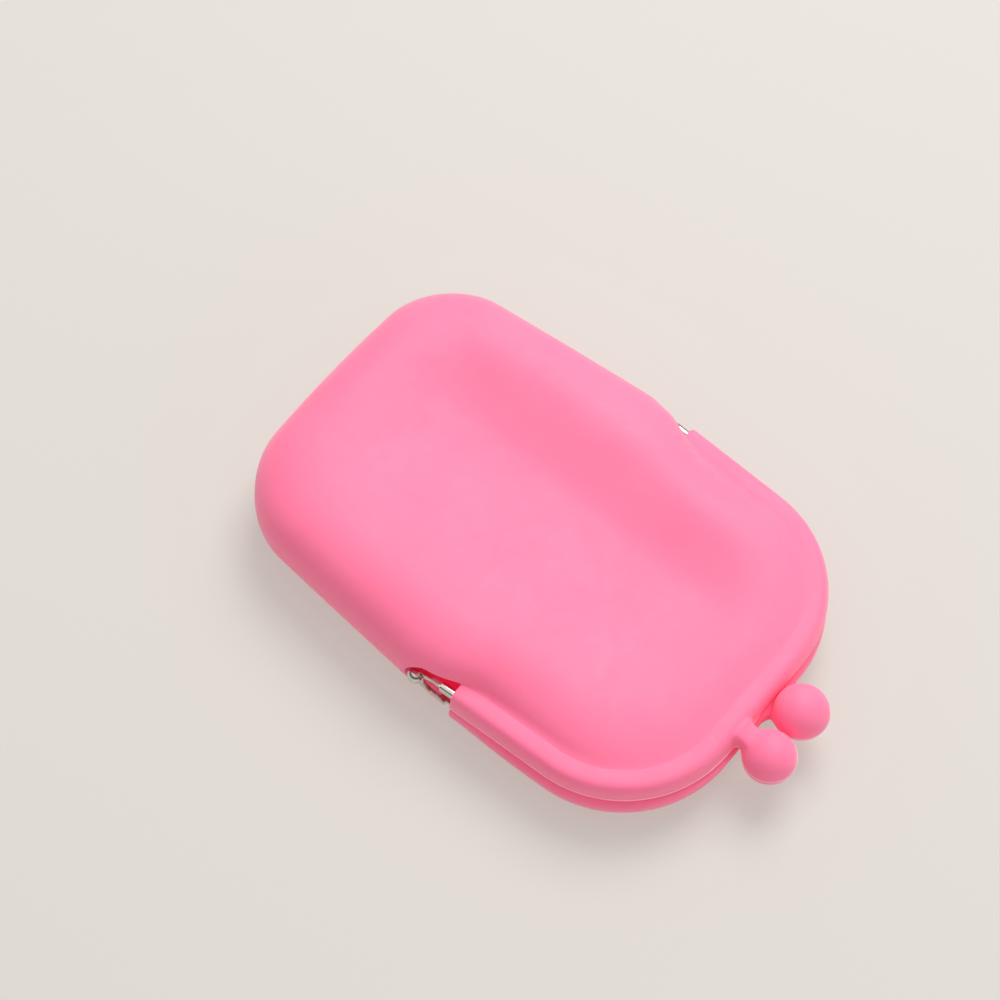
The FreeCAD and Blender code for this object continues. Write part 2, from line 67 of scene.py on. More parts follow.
# Sizes read from the frame
MID = frame["joints"][0]["pos_m"][2] / MM
RAIL_START = node_box("front_rail")[0].x
REACH = node_box("front_rail")[1].x
POUCH_DEPTH = -node_box("pouch_base")[0].x
CREST = node_box("pouch_base")[1].z - MID
BALL_RADIUS = (node_box("front_clasp_ball")[1].z - node_box("front_clasp_ball")[0].z) / 2
CAD_BALL_REACH = node_box("front_clasp_ball")[1].x - BALL_RADIUS - REACH

# Frame outline, seen from above
HINGE_HALF_WIDTH = 41.6
MOUTH_HALF_WIDTH = 39.2
MOUTH_CORNER = 27.5
LEG_SLANT = (HINGE_HALF_WIDTH - MOUTH_HALF_WIDTH) / REACH
PATH_STEP = 0.7

# Rail sections: a dome on the mouth plane above it, a rounded band that shows past it below
BEAD_INNER = 5.6
BEAD_LOW = {1: 0.15, -1: 0.5}
BEAD_HIGH = 5.1
BEAD_LEVEL = {1: 0.5, -1: 2.4}
CROWN_POWER = {1: (2.4, 0.7), -1: (3.0, 0.0)}
INNER_POWER = 7.0
FOOT_POWER = {1: 6.0, -1: 3.0}
BEAD_BULGE = {1: 0.0, -1: 1.5}
BULGE_WAY = (0.5, -0.85)
BULGE_AT_START = 0.45
BULGE_RUN = 18
BEAD_STEPS = 64
END_ROUND = 0.35
END_STEPS = 5

# Thin lips at the mouth edge, and the fine lines of the parting seam
LIP_RADIUS = 0.2
LIP_LEVEL = 0.38
LIP_OUT = {1: 0.08, -1: -0.3}
LIP_SINK = 0.35
LIP_SINK_RUN = 4.0
LIP_BALL_TUCK = 0.08
LIP_RING_STEPS = 60
LIP_FILLET = {1: 1.1, -1: 0.9}
LIP_FILLET_STEPS = 7
SEAM_LEVELS = (0.1, -1.15)
SEAM_RADIUS = 0.12
SEAM_OUT = 0.05
SEAM_HINGE_GAP = 0.4
TUBE_STEPS = 12

# Balls, their necks and the stretch of bead that each grows from
BALL_REACH = {1: CAD_BALL_REACH + 0.2, -1: CAD_BALL_REACH - 0.7}
BALL_SIZE = {1: BALL_RADIUS - 0.2, -1: BALL_RADIUS}
NECK_BACK = 2
NECK_HALF_WIDTH = {1: 2.5, -1: 4.3}
NECK_HALF_HEIGHT = {1: 2.3, -1: 1.6}
NECK_LEVEL = {1: 2.6, -1: 3.6}
NECK_DROP = 0.6
NECK_THINNING = 0.4
NECK_THIN_RUN = 2
NECK_POWER = 4.0
BEAD_SKIN = 0.02
BEAD_SINK = 0.4
BEAD_SINK_START = 5
BEAD_SINK_RUN = 4
BEAD_STRETCH = 8.45
BLEND = 1.2

# Nets of cells that the ball covers are made from
NET_STEP = 0.3
NET_ROUNDS = 6
NET_PROBE = 0.01
NET_LEAST_SLOPE = 0.05
NET_BACK = 7
NET_SIDE = 10
NET_MARGIN = 1
CELLS_ROUND_EDGE = ((1, 1), (0, 1), (0, 0), (1, 0))

# Pouch in plan, with the key 1 for the far side and -1 for the near one
HINGE_POUCH_HALF_WIDTH = 41.2
BOTTOM_HALF_WIDTH = 36.0
POUCH_SLANT = (HINGE_POUCH_HALF_WIDTH - BOTTOM_HALF_WIDTH) / POUCH_DEPTH
BOTTOM_CORNER = {1: 18.0, -1: 19.5}
BOTTOM_BOW = 2.0
BOW_START = -25
BOW_RUN = 30
BOW_LEVEL = 0.2
FOLD_BACK = {1: 2.5, -1: 3.5}
FOLD_FRONT = {1: 18.0, -1: 16.0}
SIDE_START = -25.0
SPINE_INSET = 37.0
OUTLINE_STEP = 0.8

# Pouch wall: its thickness, its foot in the rail's groove, its notch over the hinge and its rings
WALL = 1.6
WALL_TUCK = 5.4
WALL_FILLET = 1.0
FILLET_LEAD = 1
FILLET_RUN = 4
NOTCH_BACK = 2.3
NOTCH_PEAK_X = 2.6
NOTCH_HEIGHT = 5.5
GROOVE_LEVEL = 5.04
CUT_START = 1
FLATTEN = 0.25
FLATTEN_START = -2
FLATTEN_RUN = 30
EDGE_RISES = (0, 0.003, 0.007, 0.015, 0.028, 0.045, 0.07, 0.1, 0.125, 0.15)
SIDE_RISES = (0.19, 0.86)
SIDE_RINGS = 20
TOP_RINGS = 44
WELD_GAP = 0.01
UPPER = {"side": 1, "height": CREST, "slope_start": -13.0, "slope_power": 1.75, "mouth_height": 6.9,
         "out_power": 6.0, "up_power": 2.6}
LOWER = {"side": -1, "height": MID, "slope_start": 10.0, "slope_power": 2.2, "mouth_height": 5.0,
         "out_power": 4.5, "up_power": 2.6}

# Hollow in the upper wall
DISH_DEPTH = 4.6
DISH_MIDDLE = 8.5
DISH_FAR = 22.0
DISH_NEAR = 44.0
DISH_BACK = -54
DISH_BACK_RUN = 26
DISH_FRONT = 27
DISH_FRONT_RUN = 34
DISH_POWER = 4

STEEL = ("back_frame", "front_frame", "hinge_rivet_near", "hinge_rivet_far",
         "back_clasp_post", "front_clasp_post")


# Meshes


def make_piece(name, points, faces, material):
    """A smooth mesh piece from points in millimetres."""
    mesh = bpy.data.meshes.new(name)
    mesh.from_pydata((np.asarray(points, float) * MM).tolist(), [], faces)
    mesh.validate()
    mesh.polygons.foreach_set("use_smooth", [True] * len(mesh.polygons))
    mesh.materials.append(material)
    piece = bpy.data.objects.new(name, mesh)
    bpy.context.scene.collection.objects.link(piece)
    return piece


def grid_faces(rows, columns):
    """Quads of a grid of points whose last column is joined to the first."""
    faces = []
    for row in range(rows - 1):
        for column in range(columns):
            after = (column + 1) % columns
            faces.append((row * columns + column, row * columns + after,
                          (row + 1) * columns + after, (row + 1) * columns + column))
    return faces


def turned(faces):
    """Faces that look the other way."""
    return [tuple(reversed(face)) for face in faces]


def join_parts(parts):
    """Join lists of (points, faces) into one."""
    points = []
    faces = []
    for part_points, part_faces in parts:
        shift = len(points)
        points.extend(np.asarray(part_points, float).tolist())
        faces.extend(tuple(index + shift for index in face) for face in part_faces)
    return points, faces


def weld(piece):
    """Join the points that meet along the spine."""
    shape = bmesh.new()
    shape.from_mesh(piece.data)
    bmesh.ops.remove_doubles(shape, verts=shape.verts, dist=WELD_GAP * MM)
    shape.to_mesh(piece.data)
    shape.free()


def thicken(piece):
    """Give a wall its thickness, inwards, as part of its mesh."""
    solid = piece.modifiers.new("wall", "SOLIDIFY")
    solid.thickness = WALL * MM
    solid.offset = -1
    solid.use_even_offset = False
    graph = bpy.context.evaluated_depsgraph_get()
    mesh = bpy.data.meshes.new_from_object(piece.evaluated_get(graph))
    piece.modifiers.clear()
    piece.data = mesh


# Curves


def ease(share):
    """Rise smoothly from 0 to 1."""
    share = np.clip(share, 0, 1)
    return share * share * (3 - 2 * share)


def spread(start, stop, step):
    """Evenly spaced values with both ends, about step apart."""
    return np.linspace(start, stop, max(2, int(round(abs(stop - start) / step)) + 1))


def arc(x, y, radius, turns):
    """Points of a circle at a row of angles."""
    return [(x + radius * math.cos(turn), y + radius * math.sin(turn)) for turn in turns]


def leg_half_width(x):
    """Half width between the frame's legs."""
    return HINGE_HALF_WIDTH - LEG_SLANT * x


def mouth_corner():
    """Centre of the far mouth corner's arc and the angle where the leg starts."""
    square = math.hypot(1, LEG_SLANT)
    y = MOUTH_HALF_WIDTH + LEG_SLANT * MOUTH_CORNER - MOUTH_CORNER * square
    return REACH - MOUTH_CORNER, y, math.atan2(1, LEG_SLANT)


def mouth_path(start_x):
    """Points and outward normals of the frame's outline, from the near leg round the mouth to the far leg."""
    corner_x, corner_y, last = mouth_corner()
    front = [(REACH, y) for y in spread(0, corner_y, PATH_STEP)[:-1]]
    turns = spread(0, last, PATH_STEP / MOUTH_CORNER)[:-1]
    leg_start = corner_x + MOUTH_CORNER * math.cos(last)
    leg = [(x, leg_half_width(x)) for x in spread(leg_start, start_x, PATH_STEP)]
    points = np.array(front + arc(corner_x, corner_y, MOUTH_CORNER, turns) + leg)
    normals = np.array([(1, 0)] * len(front) + arc(0, 0, 1, turns) + arc(0, 0, 1, [last]) * len(leg))
    flip = np.array((1, -1))
    return np.concatenate((points[:0:-1] * flip, points)), np.concatenate((normals[:0:-1] * flip, normals))


# Tubes


def sweep_rings(path, normals, sections, shifts, side):
    """Rings of sections along a path; shifts moves each ring along its tangent."""
    rings = []
    for (x, y), (nx, ny), (out, up), shift in zip(path, normals, sections, shifts):
        rings.append(np.column_stack((
            x + nx * out - ny * shift, y + ny * out + nx * shift, MID + side * up)))
    return np.concatenate(rings)


def closed_tube(rings, count, size):
    """Points and faces of a tube of rings with a cap at each end."""
    faces = grid_faces(count, size)
    faces.append(tuple(range(size - 1, -1, -1)))
    faces.append(tuple(range((count - 1) * size, count * size)))
    return rings, faces


def round_tube(path, radius, out, level, side, hand):
    """A thin round tube along a line in plan; hand is 1 where outwards is to the right of the line."""
    ways = np.gradient(path, axis=0)
    ways /= np.linalg.norm(ways, axis=1)[:, None]
    normals = np.column_stack((ways[:, 1], -ways[:, 0])) * hand
    turn = np.linspace(0, 2 * math.pi, TUBE_STEPS, endpoint=False)
    section = (out + radius * np.cos(turn), level + radius * np.sin(turn))
    rings = sweep_rings(path, normals, [section] * len(path), [0] * len(path), side)
    return closed_tube(rings, len(path), TUBE_STEPS)


# Rails


def bead_facing(normal):
    """Share of a rail's full near-side form, where the outline faces along a normal."""
    return min(max(BULGE_WAY[0] * normal[0] + BULGE_WAY[1] * normal[1], 0), 1)


def bead_bulge(side, x, normal):
    """How far a rail stands out past the frame's outline at x, where the outline faces along a normal."""
    growth = BULGE_AT_START + (1 - BULGE_AT_START) * ease((x - RAIL_START) / BULGE_RUN)
    return BEAD_BULGE[side] * growth * bead_facing(normal)


def bead_shape(side, bulge, facing, crown, inner):
    """Middle and half width of a rail's section, and the height and squareness of its crown or foot."""
    tall = np.where(crown, BEAD_HIGH - BEAD_LEVEL[side], BEAD_LEVEL[side] - BEAD_LOW[side])
    least, more = CROWN_POWER[side]
    top = np.where(inner, INNER_POWER, least + more * facing)
    power = np.where(crown, top, FOOT_POWER[side])
    return (bulge - BEAD_INNER) / 2, (bulge + BEAD_INNER) / 2, tall, power


def bead_section(side, bulge, facing, shrink):
    """Outward and upward places round a rail's section, drawn in by a distance."""
    turn = np.linspace(0, 2 * math.pi, BEAD_STEPS, endpoint=False)
    middle, half_width, tall, power = bead_shape(side, bulge, facing, np.sin(turn) >= 0, np.cos(turn) < 0)
    out = np.sign(np.cos(turn)) * np.abs(np.cos(turn)) ** (2 / power)
    up = np.sign(np.sin(turn)) * np.abs(np.sin(turn)) ** (2 / power)
    return middle + out * (half_width - shrink), BEAD_LEVEL[side] + up * np.maximum(tall - shrink, 0)


def repeat_ends(rows):
    """Rows with the first and the last repeated, one for each step of a rounded end."""
    return np.concatenate((np.repeat(rows[:1], END_STEPS, 0), rows[1:-1], np.repeat(rows[-1:], END_STEPS, 0)))


def rail_bead(side):
    """The bead of one rail, with rounded ends."""
    path, normals = mouth_path(RAIL_START + END_ROUND)
    plain = [0] * (len(path) - 2)
    turns = np.linspace(math.pi / 2, 0, END_STEPS)
    shrinks = [END_ROUND * (1 - math.cos(turn)) for turn in turns]
    shifts = [-END_ROUND * math.sin(turn) for turn in turns]
    shrinks = shrinks + plain + shrinks[::-1]
    shifts = shifts + plain + [-shift for shift in shifts[::-1]]
    path = repeat_ends(path)
    normals = repeat_ends(normals)
    sections = [bead_section(side, bead_bulge(side, place[0], normal), bead_facing(normal), shrink)
                for place, normal, shrink in zip(path, normals, shrinks)]
    return closed_tube(sweep_rings(path, normals, sections, shifts, side), len(path), BEAD_STEPS)


def lip_path(side, ball_y):
    """The lip's line in plan: round the ball and, in front, along the rail, sinking into it past the ball."""
    ball_x = REACH + BALL_REACH[side]
    bend = LIP_FILLET[side]
    fillet_x = REACH + LIP_OUT[side] + bend
    reach = BALL_SIZE[side] + bend
    half = math.sqrt(reach ** 2 - (ball_x - fillet_x) ** 2)
    lean = math.atan2(half, ball_x - fillet_x)
    turns = np.linspace(math.pi + lean, math.pi - lean + 2 * math.pi, LIP_RING_STEPS)[1:-1]
    ring = arc(ball_x, ball_y, BALL_SIZE[side] - LIP_BALL_TUCK, turns)
    if side < 0:
        return np.array(ring)
    path, normals = mouth_path(RAIL_START)
    sink = LIP_SINK * ease((path[:, 1] - ball_y - half) / LIP_SINK_RUN)
    line = path + normals * (LIP_OUT[side] - sink)[:, None]
    near = line[line[:, 1] < ball_y - half]
    far = line[line[:, 1] > ball_y + half]
    fillet_turns = np.linspace(math.pi, lean, LIP_FILLET_STEPS)
    near_arc = arc(fillet_x, ball_y - half, bend, fillet_turns)
    far_arc = arc(fillet_x, ball_y + half, bend, -fillet_turns[::-1])
    return np.concatenate((near, near_arc, ring, far_arc, far))


def lip_tube(side, ball_y):
    """The thin lip at the mouth edge of one half."""
    return round_tube(lip_path(side, ball_y), LIP_RADIUS, 0, LIP_LEVEL, side, 1)


# Balls


def soft_min(a, b):
    """The smaller of two distances, with a fillet where they meet."""
    share = np.clip(0.5 + 0.5 * (b - a) / BLEND, 0, 1)
    return b + (a - b) * share - BLEND * share * (1 - share)


def neck_field(x, y, z, side):
    """Distance to the neck between a rail and its ball."""
    ball_x = BALL_REACH[side]
    half_height = NECK_HALF_HEIGHT[side]
    along = np.clip((x + NECK_BACK) / (ball_x + NECK_BACK), 0, 1)
    thin = 1 - NECK_THINNING * ease(-x / NECK_THIN_RUN)
    wide = np.abs(y) / NECK_HALF_WIDTH[side]
    tall = np.abs(z - NECK_LEVEL[side] * (1 - NECK_DROP * along)) / (half_height * thin)
    neck = ((wide ** NECK_POWER + tall ** NECK_POWER) ** (1 / NECK_POWER) - 1) * half_height
    return np.maximum(neck, np.maximum(-NECK_BACK - x, x - ball_x))


def bead_field(x, y, z, side):
    """Distance to the stretch of bead beside a ball, which sinks into the rail at its ends."""
    lift = z - BEAD_LEVEL[side]
    bulge = bead_bulge(side, REACH, (1, 0))
    middle, half_width, high, power = bead_shape(
        side, bulge, bead_facing((1, 0)), lift >= 0, x < (bulge - BEAD_INNER) / 2)
    across = np.abs(x - middle) / half_width
    bead = ((across ** power + (np.abs(lift) / high) ** power) ** (1 / power) - 1) * half_width
    bead = bead - BEAD_SKIN + BEAD_SINK * ease((np.abs(y) - BEAD_SINK_START) / BEAD_SINK_RUN)
    return np.maximum(bead, np.abs(y) - BEAD_STRETCH)


def ball_field(points, side, ball_y):
    """Distance to the ball, its neck and the stretch of bead that it grows from."""
    x = points[..., 0] - REACH
    y = points[..., 1] - ball_y
    z = (points[..., 2] - MID) * side
    globe = np.sqrt((x - BALL_REACH[side]) ** 2 + y ** 2 + z ** 2) - BALL_SIZE[side]
    return soft_min(soft_min(globe, neck_field(x, y, z, side)), bead_field(x, y, z, side))


def pull(field, points):
    """Move points along a field's slope onto the surface where it is 0."""
    for step in range(NET_ROUNDS):
        value = field(points)
        slope = np.stack([(field(points + shift) - field(points - shift)) / (2 * NET_PROBE)
                          for shift in np.eye(3) * NET_PROBE], -1)
        move = (value / np.maximum((slope ** 2).sum(-1), NET_LEAST_SLOPE))[:, None] * slope
        points = points - np.clip(move, -NET_STEP / 2, NET_STEP / 2)
    return points


def net_faces(inside, number, axis):
    """Quads round the grid's edges along one axis that pass through the surface."""
    before = np.take(inside, range(inside.shape[axis] - 1), axis)
    after = np.take(inside, range(1, inside.shape[axis]), axis)
    one, two = [other for other in range(3) if other != axis]
    faces = []
    for cell in np.argwhere(before != after):
        if min(cell[one], cell[two]) == 0:
            continue
        if cell[one] >= number.shape[one] or cell[two] >= number.shape[two]:
            continue
        quad = []
        for back_one, back_two in CELLS_ROUND_EDGE:
            at = cell.copy()
            at[one] -= back_one
            at[two] -= back_two
            quad.append(int(number[tuple(at)]))
        if before[tuple(cell)] == (axis == 1):
            quad.reverse()
        faces.append(tuple(quad))
    return faces


def net(field, low, high):
    """A mesh of the surface where a field is 0, from a grid of cells pulled onto it."""
    axes = [np.arange(a, b + NET_STEP, NET_STEP) for a, b in zip(low, high)]
    places = np.stack(np.meshgrid(*axes, indexing="ij"), -1)
    inside = field(places) < 0
    corners = [inside[i:inside.shape[0] - 1 + i, j:inside.shape[1] - 1 + j, k:inside.shape[2] - 1 + k]
               for i in (0, 1) for j in (0, 1) for k in (0, 1)]
    count = np.sum(corners, axis=0)
    mixed = (count > 0) & (count < len(corners))
    number = np.full(mixed.shape, -1)
    number[mixed] = np.arange(mixed.sum())
    points = pull(field, places[:-1, :-1, :-1][mixed] + NET_STEP / 2)
    faces = []
    for axis in range(3):
        faces.extend(net_faces(inside, number, axis))
    return points, faces


# Pouch


def pouch_half_width(x, side):
    """Half width of the pouch at x: its own sides at the back, inside the rails at the front."""
    share = ease((x + FOLD_BACK[side]) / (FOLD_FRONT[side] + FOLD_BACK[side]))
    pouch = HINGE_POUCH_HALF_WIDTH + POUCH_SLANT * np.minimum(x, 0)
    return (1 - share) * pouch + share * (leg_half_width(np.maximum(x, 0)) - WALL_TUCK)


def half_outline(side):
    """Plan of the widest ring on the far or near side, from the middle of the bottom to the mouth's."""
    corner = BOTTOM_CORNER[side]
    bottom_x = corner - POUCH_DEPTH
    bottom_y = pouch_half_width(bottom_x, side) - corner * math.hypot(1, POUCH_SLANT)
    half = [(-POUCH_DEPTH, y) for y in spread(0, bottom_y, OUTLINE_STEP)[:-1]]
    bottom_turns = spread(math.pi, math.pi / 2 + math.atan(POUCH_SLANT), OUTLINE_STEP / corner)
    half += arc(bottom_x, bottom_y, corner, bottom_turns)
    corner_x, corner_y, last = mouth_corner()
    radius = MOUTH_CORNER - WALL_TUCK
    leg_stop = corner_x + radius * math.cos(last)
    back_stations = spread(half[-1][0], SIDE_START, OUTLINE_STEP)[1:-1]
    front_stations = spread(SIDE_START, leg_stop, OUTLINE_STEP)[:-1]
    half += [(x, pouch_half_width(x, side)) for x in np.concatenate((back_stations, front_stations))]
    half += arc(corner_x, corner_y, radius, spread(last, 0, OUTLINE_STEP / radius))
    half += [(REACH - WALL_TUCK, y) for y in spread(corner_y, 0, OUTLINE_STEP)[1:]]
    half = np.array(half)
    bow = ease((BOW_START - half[:, 0]) / BOW_RUN) * ((half[:, 1] / BOTTOM_HALF_WIDTH) ** 2 - BOW_LEVEL)
    half[:, 0] += BOTTOM_BOW * bow
    return half * np.array((1, side))


def pouch_outline():
    """Plan of the widest ring of the pouch, a closed loop that starts in the middle of the bottom."""
    return np.concatenate((half_outline(1), half_outline(-1)[-2:0:-1]))


def notch_rise(x):
    """Height of the pouch's edge above the middle plane: 0 at the seam, an arch at the hinge, the groove."""
    back = NOTCH_HEIGHT * np.sqrt(np.clip(1 - ((NOTCH_PEAK_X - x) / (NOTCH_PEAK_X + NOTCH_BACK)) ** 2, 0, 1))
    to_rail = ease((x - NOTCH_PEAK_X) / (RAIL_START - NOTCH_PEAK_X))
    front = GROOVE_LEVEL + (NOTCH_HEIGHT - GROOVE_LEVEL) * (1 - to_rail)
    return np.where(x < NOTCH_PEAK_X, back, front)


def crest_height(half, x):
    """Height of the middle of one half at x."""
    share = np.clip((x - half["slope_start"]) / (REACH - WALL_TUCK - half["slope_start"]), 0, 1)
    return half["height"] - (half["height"] - half["mouth_height"]) * share ** half["slope_power"]


def dish(x, y):
    """How deep the hollow in the upper wall is."""
    reach = np.where(y > DISH_MIDDLE, DISH_FAR, DISH_NEAR)
    across = 1 - ease(np.abs(y - DISH_MIDDLE) / reach)
    along = ease((x - DISH_BACK) / DISH_BACK_RUN) * (1 - ease((x - DISH_FRONT) / DISH_FRONT_RUN))
    return DISH_DEPTH * across * along


def fillet(rise):
    """How far a rounded foot stands out at a height above it."""
    return WALL_FILLET - np.sqrt(WALL_FILLET ** 2 - np.clip(WALL_FILLET - rise, 0, WALL_FILLET) ** 2)


def ring_shares(half):
    """How far out from the spine the rings of one half lie, from its edge in."""
    rises = list(EDGE_RISES) + list(np.linspace(*SIDE_RISES, SIDE_RINGS))
    shares = [(1 - rise ** half["up_power"]) ** (1 / half["out_power"]) for rise in rises]
    return shares + list(np.linspace(shares[-1], 0, TOP_RINGS)[1:])


def half_rings(half, outline):
    """Points of the rings of one half, from its edge in to the spine."""
    x = outline[:, 0]
    edge = notch_rise(x)
    spine_x = np.clip(x, SPINE_INSET - POUCH_DEPTH, REACH - SPINE_INSET)
    spine = np.column_stack((spine_x, np.zeros_like(x)))
    arm = outline - spine
    way = arm / np.linalg.norm(arm, axis=1)[:, None]
    cut = edge / half["height"] * (1 - ease((x - CUT_START) / (RAIL_START - CUT_START)))
    flatter = ease((x - FLATTEN_START) / FLATTEN_RUN)
    beside_rail = ease((x - RAIL_START + FILLET_LEAD) / FILLET_RUN)
    rings = []
    for ring_share in ring_shares(half):
        rise = (1 - ring_share ** half["out_power"]) ** (1 / half["up_power"])
        share = (1 - (rise + cut * (1 - rise)) ** half["up_power"]) ** (1 / half["out_power"])
        share = share + (np.sqrt(1 - rise) - share) * flatter * FLATTEN
        plan = spine + arm * share[:, None]
        level = edge + (crest_height(half, plan[:, 0]) - edge) * rise
        plan = plan + way * (fillet(level - edge) * beside_rail)[:, None]
        if half["side"] > 0:
            level = level - dish(plan[:, 0], plan[:, 1]) * rise ** DISH_POWER
        else:
            level = np.minimum(level, MID)
        rings.append(np.column_stack((plan, MID + half["side"] * level)))
    return rings


def make_half(name, half, material):
    """One half of the pouch as a wall: rings from its edge in to the spine, then thickened inwards."""
    outline = pouch_outline()
    rings = half_rings(half, outline)
    faces = grid_faces(len(rings), len(outline))
    if half["side"] > 0:
        faces = turned(faces)
    piece = make_piece(name, np.concatenate(rings), faces, material)
    weld(piece)
    thicken(piece)
    return piece


def seam_tube(level):
    """One fine line of the parting seam, from hinge to hinge round the bottom."""
    outline = np.roll(pouch_outline(), len(pouch_outline()) // 2, 0)
    path = outline[outline[:, 0] < -NOTCH_BACK - SEAM_HINGE_GAP]
    return round_tube(path, SEAM_RADIUS, SEAM_OUT, level, 1, -1)


# Materials


def new_material(name):
    """A node material, its nodes and links, and its main shader."""
    material = bpy.data.materials.new(name)
    material.use_nodes = True
    nodes = material.node_tree.nodes
    return material, nodes, material.node_tree.links, nodes["Principled BSDF"]


def set_inputs(node, values):
    """Set a node's sockets by name."""
    for socket, value in values.items():
        node.inputs[socket].default_value = value


def grey(level):
    """A colour without hue."""
    return (level, level, level)


def noise(nodes, links, place, scale, detail):
    """A noise texture on object coordinates."""
    texture = nodes.new("ShaderNodeTexNoise")
    set_inputs(texture, {"Scale": scale, "Detail": detail})
    links.new(place.outputs["Object"], texture.inputs["Vector"])
    return texture.outputs["Fac"]


def ramp(nodes, links, source, target, stops):
    """A colour ramp from a value to a socket; stops are (place, colour)."""
    mapped = nodes.new("ShaderNodeValToRGB")
    for element, (place, colour) in zip(mapped.color_ramp.elements, stops):
        element.position = place
        element.color = (*colour, 1)
    links.new(source, mapped.inputs["Fac"])
    links.new(mapped.outputs["Color"], target)


def mix_shaders(nodes, links, share, first, second, output):
    """Show a share of a second shader in place of the first."""
    mix = nodes.new("ShaderNodeMixShader")
    links.new(share, mix.inputs["Fac"])
    links.new(first, mix.inputs[1])
    links.new(second, mix.inputs[2])
    links.new(mix.outputs["Shader"], nodes[output].inputs["Surface"])


# Its emission is a painted red glow, no lamp: it stands in for light carried through the silicone and lifts
# the red of its shaded sides.
SILICONE_LOOK_AND_PAINTED_GLOW = {
    "Subsurface Weight": 0.3, "Subsurface Radius": (1.0, 0.3, 0.4), "Subsurface Scale": 0.0012,
    "Emission Color": (1.0, 0.02, 0.14, 1), "Emission Strength": 0.12,
    "IOR": 1.41, "Sheen Weight": 0.28, "Sheen Roughness": 0.5}
SILICONE_ROUGHNESS = ((0.3, grey(0.5)), (0.7, grey(0.62)))
GRAIN_BUMP = {"Strength": 0.12, "Distance": 0.00005}
NICKEL_COLOUR = ((0.3, (0.62, 0.59, 0.54)), (0.7, (0.74, 0.72, 0.67)))
NICKEL_ROUGHNESS = ((0.3, grey(0.14)), (0.75, grey(0.28)))


def silicone_material(name, dark, light):
    """Matte pink silicone: soft, slightly see-through, with a fine moulded grain and a faint painted red glow
    that stands in for light carried through it into its shade.
    """
    material, nodes, links, shader = new_material(name)
    place = nodes.new("ShaderNodeTexCoord")
    clouds = noise(nodes, links, place, scale=60, detail=3)
    ramp(nodes, links, clouds, shader.inputs["Base Color"], ((0.35, dark), (0.65, light)))
    grain = noise(nodes, links, place, scale=3500, detail=2)
    dust = noise(nodes, links, place, scale=400, detail=4)
    ramp(nodes, links, dust, shader.inputs["Roughness"], SILICONE_ROUGHNESS)
    bump = nodes.new("ShaderNodeBump")
    set_inputs(bump, GRAIN_BUMP)
    links.new(grain, bump.inputs["Height"])
    links.new(bump.outputs["Normal"], shader.inputs["Normal"])
    # The emission set here is the painted red glow that stands in for light passing through the silicone.
    set_inputs(shader, SILICONE_LOOK_AND_PAINTED_GLOW)
    return material


def nickel_material():
    """Bright nickel plate with slight wear."""
    material, nodes, links, shader = new_material("nickel_plate")
    place = nodes.new("ShaderNodeTexCoord")
    wear = noise(nodes, links, place, scale=900, detail=5)
    ramp(nodes, links, wear, shader.inputs["Base Color"], NICKEL_COLOUR)
    ramp(nodes, links, wear, shader.inputs["Roughness"], NICKEL_ROUGHNESS)
    shader.inputs["Metallic"].default_value = 1
    return material


# Object

silicone = silicone_material("silicone_pink", (0.985, 0.205, 0.365), (1.0, 0.22, 0.38))
# Paler pink for the lips and seam lines: a painted highlight, so that these thin edges read as lit even in
# shade.
painted_highlight_silicone = silicone_material("silicone_painted_edge_highlight", (0.99, 0.5, 0.63), (1.0, 0.56, 0.69))
nickel = nickel_material()

upper = make_half("pouch_upper", UPPER, silicone)
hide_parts("front_wall", "front_fold", "pouch_base")
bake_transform(upper)

# The seam lines take the paler pink: a painted highlight.
seam = make_piece("pouch_seam", *join_parts([seam_tube(level) for level in SEAM_LEVELS]), painted_highlight_silicone)
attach(seam, "back_half")

lower = make_half("pouch_lower", LOWER, silicone)
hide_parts("back_wall")
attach(lower, "back_half")

for body, side in (("front", 1), ("back", -1)):
    low, high = node_box(f"{body}_clasp_ball")
    ball_y = (low.y + high.y) / 2
    # The lips take the paler pink: a painted highlight along the mouth edge.
    for name, (points, faces), material in (
            ("rail_sleeve", rail_bead(side), silicone), ("rail_lip", lip_tube(side, ball_y), painted_highlight_silicone)):
        if side > 0:
            faces = turned(faces)
        rail = make_piece(f"{body}_{name}", points, faces, material)
        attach(rail, f"{body}_half")
        if name == "rail_sleeve":
            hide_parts(f"{body}_rail")
    front_x = REACH + BALL_REACH[side] + BALL_RADIUS + NET_MARGIN
    points, faces = net(
        lambda places: ball_field(places, side, ball_y),
        (REACH - NET_BACK, ball_y - NET_SIDE, MID - BALL_RADIUS - NET_MARGIN),
        (front_x, ball_y + NET_SIDE, MID + BALL_RADIUS + NET_MARGIN))
    ball = make_piece(f"{body}_ball_cover", points, faces, silicone)
    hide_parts(f"{body}_clasp_ball")
    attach(ball, f"{body}_half")

for node in STEEL:
    mesh = frame["nodes"][node].data
    mesh.materials.clear()
    mesh.materials.append(nickel)

# Stage

FLOOR_HALF = 3.0
FLOOR_LOOK = {"Base Color": (0.66, 0.63, 0.59, 1), "Roughness": 0.9}
FLOOR_GLOW = (0.8, 0.76, 0.71, 1)
FLOOR_GLOW_SHARE = 0.48
LIGHT_COLOUR = (1.0, 0.99, 0.97)
SKY_STRENGTH = 0.52
REFLECTED_SKY = ((0.3, grey(0.07)), (0.78, LIGHT_COLOUR))


def maths(nodes, links, operation, first):
    """A node that works on a value; its second input is left to set."""
    node = nodes.new("ShaderNodeMath")
    node.operation = operation
    links.new(first, node.inputs[0])
    return node


